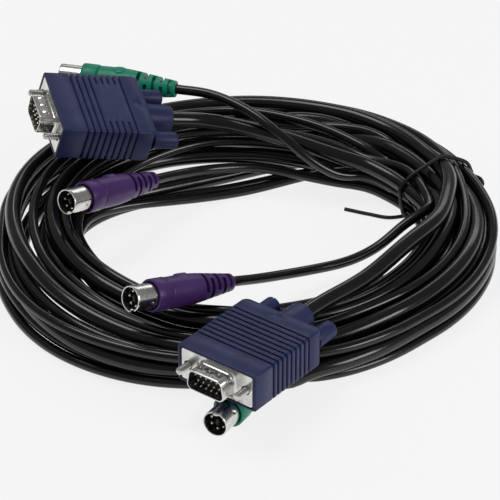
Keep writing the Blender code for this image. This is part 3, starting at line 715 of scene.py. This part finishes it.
def boot_stations():
    """Stations of the boot, its seat and its bore: distance back, radius and slot row, 0 for none."""
    seat = SHELL_D / 2 + GAP
    collar = COLLAR_D / 2
    stations = [(SHELL_SEAT + GAP, seat, 0), (0.3, seat, 0), (0.0, seat + 0.25, 0), (0.0, collar - 0.45, 0),
                (0.15, collar - 0.15, 0), (0.5, collar, 0), (3.0, collar, 0)]
    neck = COLLAR_LENGTH
    for offset, depth in ((-0.35, 0.0), (-0.15, 0.1), (0.0, COLLAR_NECK + 0.3), (0.15, COLLAR_NECK + 0.3)):
        stations.append((neck + offset, collar - depth, 0))
    stations += [(neck + 0.35, BODY_D / 2 - 0.12, 0), (neck + 0.6, BODY_D / 2, 0)]
    body_end = COLLAR_LENGTH + BODY_LENGTH
    count = 36
    for i in range(1, count):
        share = i / count
        x = neck + 0.6 + (BODY_LENGTH - 0.6) * share
        swell = 0.18 * math.sin(math.pi * share)
        drop = (BODY_D - RELIEF_START_D) / 2 * max(0.0, (share - 0.55) / 0.45) ** 1.5
        stations.append((x, BODY_D / 2 + swell * 0.6 - drop, 0))
    pitch = RIB_WIDTH + RIB_SPACE
    for rib in range(RIBS):
        start = body_end + pitch * rib
        for x, row in ((start, 0), (start + 0.05, rib + 1), (start + RIB_SPACE - 0.05, rib + 1),
                       (start + RIB_SPACE, 0), (start + RIB_SPACE + RIB_WIDTH * 0.5, 0)):
            share = (x - body_end) / (boot_length() - body_end)
            stations.append((x, relief_radius(share), row))
    end = boot_length()
    bore = THIN_CORD_D / 2 + 0.2
    stations += [(end - 0.25, RELIEF_END_D / 2 + 0.02, 0), (end - 0.05, RELIEF_END_D / 2 - 0.15, 0),
                 (end, RELIEF_END_D / 2 - 0.4, 0), (end, bore + 0.15, 0), (end - 0.2, bore, 0),
                 (end - BORE_DEPTH, bore, 0)]
    return stations


def boot_mesh():
    """Collar, body with its thumb mark, and the tapered relief with staggered slots."""
    mark_x = COLLAR_LENGTH + BODY_LENGTH * 0.55
    rings = []
    for x, radius, row in boot_stations():
        ring = []
        for a in around(96):
            here = radius
            if row:
                middle = math.pi / 2 * (row % 2) + math.pi / 4
                off = abs((a - middle + math.pi / 2) % math.pi - math.pi / 2)
                if off > RIB_BRIDGE:
                    here = min(RELIEF_CORE_D / 2, radius - 0.4)
            across = (a - math.pi / 2) * radius
            reach = math.hypot(x - mark_x, across) / (THUMB_MARK_D / 2)
            if reach < 1.25 and radius > BODY_D / 2 - 0.5:
                t = min(1.0, max(0.0, (1.25 - reach) / 0.35))
                here += THUMB_MARK_RISE * eased(t)
            ring.append((-x, *polar(here, a)))
        rings.append(ring)
    return loft("boot", rings)


def shell_radius(a, inset):
    """Radius of the round shell at an angle, with the keyway pressed in at the foot."""
    radius = SHELL_D / 2 - inset
    off = abs((a + math.pi / 2 + math.pi) % (2 * math.pi) - math.pi)
    t = min(1.0, max(0.0, (KEYWAY_HALF_ANGLE * 1.25 - off) / (KEYWAY_HALF_ANGLE * 0.5)))
    return radius - KEYWAY_DEPTH * eased(t)


def round_outline(inset, steps=96):
    return [polar(shell_radius(a, inset), a) for a in around(steps)]


def round_shell_mesh():
    """The drawn round shell: a closed wall with a rounded rim and two small stamped dimples."""
    outside = [(-SHELL_SEAT, 0.0), (-1.0, 0.0)] + [(0.25 * i, 0.0) for i in range(0, 33)]
    outside += [(SHELL_LENGTH - 0.2, 0.0), (SHELL_LENGTH - 0.05, 0.06)]
    inside = [(SHELL_LENGTH - 0.05, SHELL_WALL - 0.06), (SHELL_LENGTH - 0.2, SHELL_WALL)]
    inside += [(x, SHELL_WALL) for x, _ in reversed(outside[:-2])]
    inside[-1] = (-SHELL_SEAT, SHELL_WALL)
    dent_x, dent_angle, dent_size, dent_depth = 2.6, math.radians(-35), 0.9, 0.35
    rings = []
    for x, inset in outside + [(SHELL_LENGTH, SHELL_WALL / 2)] + inside:
        ring = []
        for a in around(96):
            radius = shell_radius(a, inset)
            for centre in (dent_angle, math.pi - dent_angle):
                across = ((a - centre + math.pi) % (2 * math.pi) - math.pi) * radius
                reach = math.hypot(x - dent_x, across) / dent_size
                radius -= dent_depth * max(0.0, 1 - reach ** 2) ** 1.5
            ring.append((x, *polar(radius, a)))
        rings.append(ring)
    return loft("round_shell", rings, closed=True)


def round_insulator_mesh():
    """The round insulator with its rectangular key post."""
    stations = ((-SHELL_SEAT + GAP, 0.0), (ROUND_FACE - 0.2, 0.0), (ROUND_FACE, 0.2))
    disc = through("disc", [(x, round_outline(SHELL_WALL + GAP + inset)) for x, inset in stations])
    tip = SHELL_LENGTH - ROUND_PIN_SHORT
    post = through("post", [(x, rounded_rectangle(KEY_POST[0] - trim, KEY_POST[1] - trim, 0.2, 4))
                            for x, trim in ((ROUND_FACE - 1, 0.0), (tip - 0.2, 0.0), (tip, 0.3))])
    return carve(disc, [("UNION", post)])


def round_pins_mesh():
    tip = SHELL_LENGTH - ROUND_PIN_SHORT
    reach = ROUND_PIN_CIRCLE / 2
    pins = []
    for angle in ROUND_PIN_ANGLES:
        pins.append(pin_mesh(ROUND_PIN_D, *polar(reach, math.radians(angle)), ROUND_FACE - 0.5, tip))
    return merged("round_pins", pins)


def add_round_plugs(materials):
    """The four round plugs; returns the pieces of those at the cords' far ends."""
    boot, shell, insulator, pins = boot_mesh(), round_shell_mesh(), round_insulator_mesh(), round_pins_mesh()
    far = {}
    plugs = (("keyboard", "a", "purple", KEYBOARD_A), ("keyboard", "b", "purple", KEYBOARD_B),
             ("mouse", "a", "green", MOUSE_A), ("mouse", "b", "green", MOUSE_B))
    for kind, end, colour, pose in plugs:
        pieces = add_parts((
            (f"{kind}_relief_boot_{end}", boot, colour, f"{colour}_moulding", (f"{kind}_boot_{end}",)),
            (f"{kind}_barrel_{end}", shell, "nickel", "nickel_shell", (f"{kind}_shell_{end}",)),
            (f"{kind}_{end}_insulator", insulator, "insulator", "black_insulator",
             (f"{kind}_contact_block_{end}",)),
            (f"{kind}_{end}_pins", pins, "pin", "nickel_shell", ()),
        ), pose, materials)
        if end == "b":
            far[kind] = pieces
    return far


# Cords


def off_angle(angle, middle):
    """Signed angle from the middle, in degrees."""
    return (angle - middle + 180.0) % 360.0 - 180.0


def coil_section(angle):
    """Inner radius, outer radius and height of the coil at angles in degrees."""
    table = np.array(COIL_STATIONS, float)
    a = np.mod(np.asarray(angle, float), 360.0)
    starts = table[:, 0]
    k = np.searchsorted(starts, a, side="right") - 1
    n = (k + 1) % len(table)
    ends = np.where(n == 0, 360.0, starts[n])
    t = (a - starts[k]) / (ends - starts[k])
    t = eased(t)
    return [table[k, i] + (table[n, i] - table[k, i]) * t for i in (1, 2, 3)]


def catmull_rom(p0, p1, p2, p3, t):
    """Between p1 and p2, on the smooth curve through all four."""
    return 0.5 * (2 * p1 + (p2 - p0) * t + (2 * p0 - 5 * p1 + 4 * p2 - p3) * t ** 2
                  + (3 * p1 - p0 - 3 * p2 + p3) * t ** 3)


def wander(rng, count, spacing, amplitude):
    """A smooth random course with a key every spacing steps."""
    keys = rng.uniform(-amplitude, amplitude, count // spacing + 5)
    x = np.arange(count) / spacing
    i = x.astype(int)
    t = x - i
    return catmull_rom(keys[i], keys[i + 1], keys[i + 2], keys[i + 3], t)


def slot_course(slots, index, change=0.22):
    """Place in the coil's section for each step: one place for a turn, then a slide to the next one's."""
    x = index / STEPS_PER_TURN
    turn = np.minimum(x.astype(int), len(slots) - 1)
    part = x - x.astype(int)
    after = np.minimum(turn + 1, len(slots) - 1)
    t = np.clip((part - (1 - change)) / change, 0, 1)
    t = eased(t)
    s = np.array(slots)
    return s[turn] + (s[after] - s[turn]) * t[:, None]


def roof_for(radius, size, inner, outer, height):
    """Highest place of a cord's middle at a radius, under the coil's rounded top edges."""
    corner = COIL_TOP_ROUND * height
    beside = np.maximum(0, np.maximum(inner + corner - radius, radius - (outer - corner)))
    return height - corner + np.sqrt(np.maximum((corner - size) ** 2 - beside ** 2, 0))


class Turns:
    """The turns of one cord in the coil: its angles, radii and heights, step by step."""

    def __init__(self, diameter, slots, first, last, start, end, strays, seed):
        rng = np.random.default_rng(seed)
        self.index = np.arange(first, last + 1)
        self.angle = FIRST_ANGLE - STEP_ANGLE * self.index
        self.start, self.end = start, end
        self.radius = diameter / 2
        count = len(self.index)
        place = slot_course(slots, self.index)
        across = np.clip(place[:, 0] + wander(rng, count, 17, WANDER_ACROSS), 0, 1)
        up = np.clip(place[:, 1] + wander(rng, count, 14, WANDER_UP), 0, 1)
        inner, outer, height = coil_section(self.angle)
        self.low = inner + self.radius
        self.high = outer - self.radius
        self.roof = height.copy()
        self.r = self.low + across * (self.high - self.low)
        ceiling = roof_for(self.r, self.radius, inner, outer, height)
        self.z = self.radius + up * (ceiling - self.radius)
        for turn, angle, width, shift in strays:
            self.stray(turn, angle, width, shift)
        self.lead_in(14)
        self.lead_out(9)

    def stray(self, turn, angle, width, shift):
        """One turn lies on the floor inside or outside the others for a stretch around an angle."""
        middle = turn * STEPS_PER_TURN + (FIRST_ANGLE - angle) % 360.0 / STEP_ANGLE
        t = np.clip(1.6 - 1.6 * np.abs(self.index - middle) * STEP_ANGLE / width, 0, 1)
        t = eased(t)
        if shift < 0:
            self.low += shift * t
            self.r += (self.low - self.r) * t
        else:
            self.high += shift * t
            self.r += (self.high - self.r) * t
        self.z += (self.radius - self.z) * t

    def lead_in(self, steps):
        """The first turn comes in from the coil's inner wall."""
        t = np.linspace(0, 1, steps)
        t = eased(t)
        radius, height = self.start
        for values, goal in ((self.low, radius), (self.r, radius), (self.z, height)):
            values[:steps] = goal + (values[:steps] - goal) * t

    def lead_out(self, steps):
        """The last turn rises or drops to where its lead leaves the coil."""
        t = np.linspace(0, 1, steps)
        t = eased(t)
        radius, height = self.end
        self.low[-steps:] += np.minimum(0, radius - self.low[-steps:]) * t
        self.roof[-steps:] += np.maximum(0, height + self.radius - self.roof[-steps:]) * t
        self.r[-steps:] += (radius - self.r[-steps:]) * t
        self.z[-steps:] += (height - self.z[-steps:]) * t


def plug_obstacles():
    """Steps, radii, heights and sizes of balls that stand for the plug that the turns pass over."""
    tail = boot_length()
    matrix = pose_matrix(MOUSE_B)
    found = []
    for i in range(int((tail + MOUSE_TAIL) / 1.5) + 1):
        back = 1.5 * i
        if back < COLLAR_LENGTH + BODY_LENGTH:
            size = COLLAR_D / 2
        elif back < tail:
            share = (back - COLLAR_LENGTH - BODY_LENGTH) / (tail - COLLAR_LENGTH - BODY_LENGTH)
            size = relief_radius(share)
        else:
            size = THIN_CORD_D / 2
        x, y, z = (matrix @ Vector((-back * MM, 0, 0))) / MM
        x, y = x - COIL_CENTRE[0], y - COIL_CENTRE[1]
        step = round((FIRST_ANGLE - math.degrees(math.atan2(y, x))) / STEP_ANGLE)
        found.append((step % STEPS_PER_TURN, math.hypot(x, y), z, size + 0.15))
    return np.array(found)


def settle(turns):
    """Part the turns wherever they meet, keep them inside the coil and let them settle."""
    steps, block_r, block_z, block_size = plug_obstacles().T
    fixed = len(steps)
    rows = [(c.r, c.z, np.full(len(c.r), c.radius), c.angle, c.index, c.low, c.high, c.roof) for c in turns]
    rows.append((block_r, block_z, block_size, FIRST_ANGLE - STEP_ANGLE * steps, steps,
                 np.zeros(fixed), np.full(fixed, 200.0), np.full(fixed, 60.0)))
    r, z, size, angle, station, low, high, roof = (np.concatenate(parts) for parts in zip(*rows))
    station = station.astype(int) % STEPS_PER_TURN
    inner, outer, height = coil_section(angle)
    spans = []
    start = 0
    pinned = np.zeros(len(r), bool)
    for c in turns:
        spans.append(slice(start, start + len(c.r)))
        pinned[start] = True
        start += len(c.r)
        pinned[start - 1] = True
    pinned[start:] = True
    free = ~pinned
    from_plug = np.abs(off_angle(angle, PLUG_ANGLE))
    lift = PLUG_LIFT * np.clip((PLUG_HALF_WIDTH - from_plug) / PLUG_EASE, 0, 1)
    from_tie = np.abs(off_angle(angle, TIE_ANGLE))
    ground = (TIE_D + GAP) * np.clip((TIE_HALF_WIDTH - from_tie) / TIE_EASE, 0, 1)
    most = np.bincount(station).max()
    table = np.full((STEPS_PER_TURN, most), -1)
    fill = np.zeros(STEPS_PER_TURN, int)
    for i, place in enumerate(station):
        table[place, fill[place]] = i
        fill[place] += 1
    valid = table >= 0
    safe = np.where(valid, table, 0)
    weight = np.where(pinned, 0.0, size ** -2)
    pairs = valid[:, :, None] & valid[:, None, :] & ~np.eye(most, dtype=bool)[None]
    reach = size[safe][:, :, None] + size[safe][:, None, :] + CORD_CLEARANCE
    mine, other = weight[safe][:, :, None], weight[safe][:, None, :]
    share = mine / np.maximum(mine + other, 1e-9)
    corner = COIL_TOP_ROUND * height
    aim_r, aim_z = r.copy(), z.copy()
    for turn in range(SETTLE_ROUNDS):
        late = turn / SETTLE_ROUNDS
        pull = SETTLE_PULL * (1 - late)
        r += (aim_r - r) * pull * free
        z += ((aim_z - z) * pull - SETTLE_SINK * (1 - late)) * free
        if turn < SETTLE_ROUNDS - SETTLE_LAST:
            for span in spans:
                for values in (r, z):
                    straighten(values[span], free[span])
        for _ in range(3):
            dr = r[safe][:, :, None] - r[safe][:, None, :]
            dz = z[safe][:, :, None] - z[safe][:, None, :]
            apart = np.sqrt(dr * dr + dz * dz) + 1e-9
            push = np.where(pairs, np.maximum(reach - apart, 0), 0) / apart * share * SETTLE_PUSH
            np.add.at(r, safe[valid], (dr * push).sum(2)[valid])
            np.add.at(z, safe[valid], (dz * push).sum(2)[valid])
            r[free] = np.clip(r, low, high)[free]
            top = np.where(r < PLUG_LIFT_RADIUS, roof + lift, roof) - size
            z[free] = np.clip(z, size + ground, np.maximum(top, size + ground))[free]
            for sign, middle in ((-1, inner + corner), (1, outer - corner)):
                over_r, over_z = r - middle, z - (height - corner)
                beyond = (over_r * sign > 0) & (over_z > 0) & free & (roof <= height + 1e-6) & (lift < 0.01)
                if sign < 0:
                    beyond &= low >= inner + size - 0.01
                far = np.sqrt(over_r ** 2 + over_z ** 2) + 1e-9
                back = np.where(beyond & (far > corner - size), (corner - size) / far, 1.0)
                r = np.where(back < 1, middle + over_r * back, r)
                z = np.where(back < 1, height - corner + over_z * back, z)
    for c, span in zip(turns, spans):
        c.r, c.z = r[span], z[span]


def straighten(values, free):
    """Take short bends out of one cord's course."""
    bend = np.zeros_like(values)
    bend[1:-1] = (values[:-2] + values[2:]) / 2 - values[1:-1]
    change = np.zeros_like(values)
    change[1:-1] = (bend[:-2] + bend[2:]) / 2 - bend[1:-1]
    values += (bend * 0.25 - change * 0.35) * free


def smooth_points(points, spacing):
    """Even points on a smooth curve through the given points."""
    p = np.array(points, float)
    p = np.vstack([2 * p[0] - p[1], p, 2 * p[-1] - p[-2]])
    t = (np.arange(12) / 12)[None, :, None]
    p0, p1, p2, p3 = (p[i:len(p) - 3 + i, None, :] for i in range(4))
    dense = np.vstack([catmull_rom(p0, p1, p2, p3, t).reshape(-1, 3), p[-2]])
    lengths = np.concatenate([[0], np.cumsum(np.linalg.norm(np.diff(dense, axis=0), axis=1))])
    wanted = np.linspace(0, lengths[-1], max(3, round(lengths[-1] / spacing) + 1))
    return np.stack([np.interp(wanted, lengths, dense[:, i]) for i in range(3)], axis=1)


def behind(pose, distance):
    """The point on the plug's axis at a distance behind its origin, measured from the coil's centre."""
    x, y, z = (pose_matrix(pose) @ Vector((-distance * MM, 0, 0))) / MM
    return (x - COIL_CENTRE[0], y - COIL_CENTRE[1], z)


def cord_course(turns, tail, pose_a, route_a, pose_b, route_b):
    """The whole course of one cord, from inside one plug, through the coil, to inside the other plug."""
    out, back = ([behind(pose, tail + d) for d in (-CORD_IN_PLUG, GAP, GAP + 2.5)]
                 for pose in (pose_a, pose_b))
    a = np.radians(turns.angle)
    ring = np.stack([turns.r * np.cos(a), turns.r * np.sin(a), turns.z], axis=1)[1:]
    course = np.vstack([out, np.array(route_a, float), ring, np.array(route_b[::-1], float), back[::-1]])
    points = smooth_points(course, CORD_POINT_SPACING)
    held = np.ones(len(points))
    held[:3] = held[-3:] = 0
    for _ in range(6):
        bend = np.zeros_like(points)
        bend[1:-1] = (points[:-2] + points[2:]) / 2 - points[1:-1]
        points += bend * 0.4 * held[:, None]
    return points


def add_tube(name, points, diameter, sides, material, nodes):
    """A round cord as a curve through points in millimetres from the coil's centre."""
    curve = bpy.data.curves.new(name, "CURVE")
    curve.dimensions = "3D"
    curve.bevel_depth = diameter / 2 * MM
    curve.bevel_resolution = (sides - 4) // 2
    curve.use_fill_caps = True
    spline = curve.splines.new("POLY")
    spline.points.add(len(points) - 1)
    centre = np.array((*COIL_CENTRE, 0.0))
    flat = np.ones((len(points), 4))
    flat[:, :3] = (np.array(points) + centre) * MM
    spline.points.foreach_set("co", flat.ravel())
    spline.use_smooth = True
    curve.materials.append(material)
    return ride_as(new_object(name, curve), nodes)


def wind_cords():
    """The turns of the three cords, settled."""
    last = len(VIDEO_SLOTS) * STEPS_PER_TURN
    turns = [
        Turns(VIDEO_CORD_D, VIDEO_SLOTS, 0, last + 7, (67.4, 13.6), (77.6, 22.8), VIDEO_STRAYS, 11),
        Turns(THIN_CORD_D, KEYBOARD_SLOTS, 1, last + 8, (68.6, 3.4), (69.6, 17.6), KEYBOARD_STRAYS, 23),
        Turns(THIN_CORD_D, MOUSE_SLOTS, 2, last + 24, (70.0, 8.4), (61.0, 5.2), MOUSE_STRAYS, 37),
    ]
    settle(turns)
    return turns


def add_cords(turns, materials, far_video, far_round):
    video_tail = HOOD_LENGTH + BARREL_LENGTH
    round_tail = boot_length()
    mouse_end = [behind(MOUSE_B, round_tail + GAP + MOUSE_TAIL * t) for t in (0.5, 1)] + [MOUSE_END]
    courses = (
        ("video", VIDEO_CORD_D, video_tail, VIDEO_A, VIDEO_ROUTE_A, VIDEO_B, VIDEO_ROUTE_B, far_video),
        ("keyboard", THIN_CORD_D, round_tail, KEYBOARD_A, KEYBOARD_ROUTE_A, KEYBOARD_B, KEYBOARD_ROUTE_B,
         far_round["keyboard"]),
        ("mouse", THIN_CORD_D, round_tail, MOUSE_A, MOUSE_ROUTE_A, MOUSE_B, mouse_end, far_round["mouse"]),
    )
    for wound, (kind, diameter, tail, pose_a, route_a, pose_b, route_b, far) in zip(turns, courses):
        points = cord_course(wound, tail, pose_a, route_a, pose_b, route_b)
        piece = add_tube(f"{kind}_cord", points, diameter, 16, materials["cord"],
                         ("cable_coil", f"{kind}_lead_a", f"{kind}_lead_b"))


def around_cords(turns, off):
    """Clockwise outline, as (radius, height), of the tightest loop around all cords in the tie's plane."""
    cloud = []
    for cord in turns:
        for k in range(len(cord.angle) - 1):
            first = off_angle(cord.angle[k], TIE_ANGLE)
            if 0 <= first < STEP_ANGLE:
                t = first / STEP_ANGLE
                r = cord.r[k] + (cord.r[k + 1] - cord.r[k]) * t
                z = cord.z[k] + (cord.z[k + 1] - cord.z[k]) * t
                reach = cord.radius + off
                for a in around(32):
                    cloud.append((r + reach * math.cos(a), max(z + reach * math.sin(a), off)))
    cloud = sorted(set(cloud))
    sides = []
    for course in (cloud, cloud[::-1]):
        side = []
        for q in course:
            while len(side) > 1 and ((side[-1][0] - side[-2][0]) * (q[1] - side[-2][1])
                                     <= (side[-1][1] - side[-2][1]) * (q[0] - side[-2][0])):
                side.pop()
            side.append(q)
        sides.append(side[:-1])
    return (sides[0] + sides[1])[::-1]


def tie_route(turns):
    """From a loose tail inside the coil, over the cords, round a short twist outside and back under them."""
    a = math.radians(TIE_ANGLE)
    out = Vector((math.cos(a), math.sin(a), 0))
    along = Vector((-math.sin(a), math.cos(a), 0))
    up = Vector((0, 0, 1))
    off = TIE_D / 2 + 0.05
    outline = around_cords(turns, off)
    inner = min(r for r, z in outline)
    outer = max(r for r, z in outline)
    start = min(range(len(outline)), key=lambda i: (outline[i][1], outline[i][0]))
    outline = outline[start:] + outline[:start]
    kept = [outline[0]]
    for r, z in outline[1:]:
        if math.hypot(r - kept[-1][0], z - kept[-1][1]) > 2.2:
            kept.append((r, z))

    def at(r, z, side=0.0):
        return out * r + up * z + along * side

    route = [at(inner - inside, off + rise, side) for inside, rise, side in TIE_TAIL]
    twisted = False
    for i, (r, z) in enumerate(kept):
        if r > outer - 1.5 and z < 12 and not twisted:
            twisted = True
            route += [at(outer + outside, height, side) for outside, height, side in TIE_TWIST]
        route.append(at(r, z, -1.2 if twisted and i > len(kept) - 3 else 0.0))
    return route


# Floor, light and camera


def mix_into(tree, output, share, first, second):
    """The output shows the first shader, and the second by its share."""
    mix = add_node(tree, "MixShader", None, {"Fac": share, 1: first.outputs[0], 2: second.outputs[0]})
    tree.links.new(mix.outputs[0], tree.nodes[output].inputs["Surface"])


def add_floor():
    """A pale floor that shows white to the camera and keeps a faint shadow."""
    bpy.ops.mesh.primitive_plane_add(size=6.0)
    floor = bpy.context.object
    floor.name = "floor"
    material, tree, shader = new_material("pale_floor", 0.9)
    shader.inputs["Base Color"].default_value = (0.86, 0.86, 0.86, 1)
    light = add_node(tree, "Emission", {"Color": WHITE, "Strength": 1.0})
    rays = add_node(tree, "LightPath").outputs
    seen = rays["Is Camera Ray"]
    for other in ("Is Glossy Ray", "Is Transmission Ray"):
        either = add_node(tree, "Math", None, {0: seen, 1: rays[other]})
        either.operation = "MAXIMUM"
        seen = either.outputs[0]
    scale = add_node(tree, "Math", {1: FLOOR_WHITE}, {0: seen})
    scale.operation = "MULTIPLY"
    mix_into(tree, "Material Output", scale.outputs[0], shader, light)
    floor.data.materials.append(material)


def add_world():
    world = bpy.data.worlds.new("studio")
    bpy.context.scene.world = world
    world.use_nodes = True
    tree = world.node_tree
    ambient = tree.nodes["Background"]
    set_inputs(ambient, {"Color": WHITE, "Strength": AMBIENT})
    white = add_node(tree, "Background", {"Color": WHITE, "Strength": 1.0})
    seen = add_node(tree, "LightPath").outputs["Is Camera Ray"]
    mix_into(tree, "World Output", seen, ambient, white)


def add_lamps():
    """Softboxes that face the object."""
    for name, place, size, power in LAMPS:
        data = bpy.data.lights.new(name, "AREA")
        data.shape = "RECTANGLE"
        data.size, data.size_y = size
        data.energy = power
        lamp = new_object(name, data)
        lamp.location = place
        lamp.rotation_euler = (Vector(LAMP_TARGET) - Vector(place)).to_track_quat("-Z", "Y").to_euler()


def add_camera():
    data = bpy.data.cameras.new("camera")
    data.sensor_width = SENSOR_MM
    data.lens = FOCAL_PIXELS / PHOTO_PIXELS * SENSOR_MM
    data.clip_start = 0.05
    data.clip_end = 20.0
    camera = new_object("camera", data)
    e = math.radians(CAMERA_ELEVATION)
    camera.location = Vector(CAMERA_TARGET) + Vector((0, -math.cos(e), math.sin(e))) * CAMERA_DISTANCE
    camera.rotation_euler = (math.radians(90 - CAMERA_ELEVATION), 0, 0)
    bpy.context.scene.camera = camera


def main():
    materials = make_materials()
    far_video = add_video_plugs(materials)
    far_round = add_round_plugs(materials)
    turns = wind_cords()
    add_cords(turns, materials, far_video, far_round)
    tie = smooth_points(tie_route(turns), 1.2)
    add_tube("tie_wrap", tie, TIE_D, 12, materials["tie"], ("twist_tie",))
    add_floor()
    add_world()
    add_lamps()
    add_camera()
    bpy.context.scene.view_settings.view_transform = "Standard"


main()
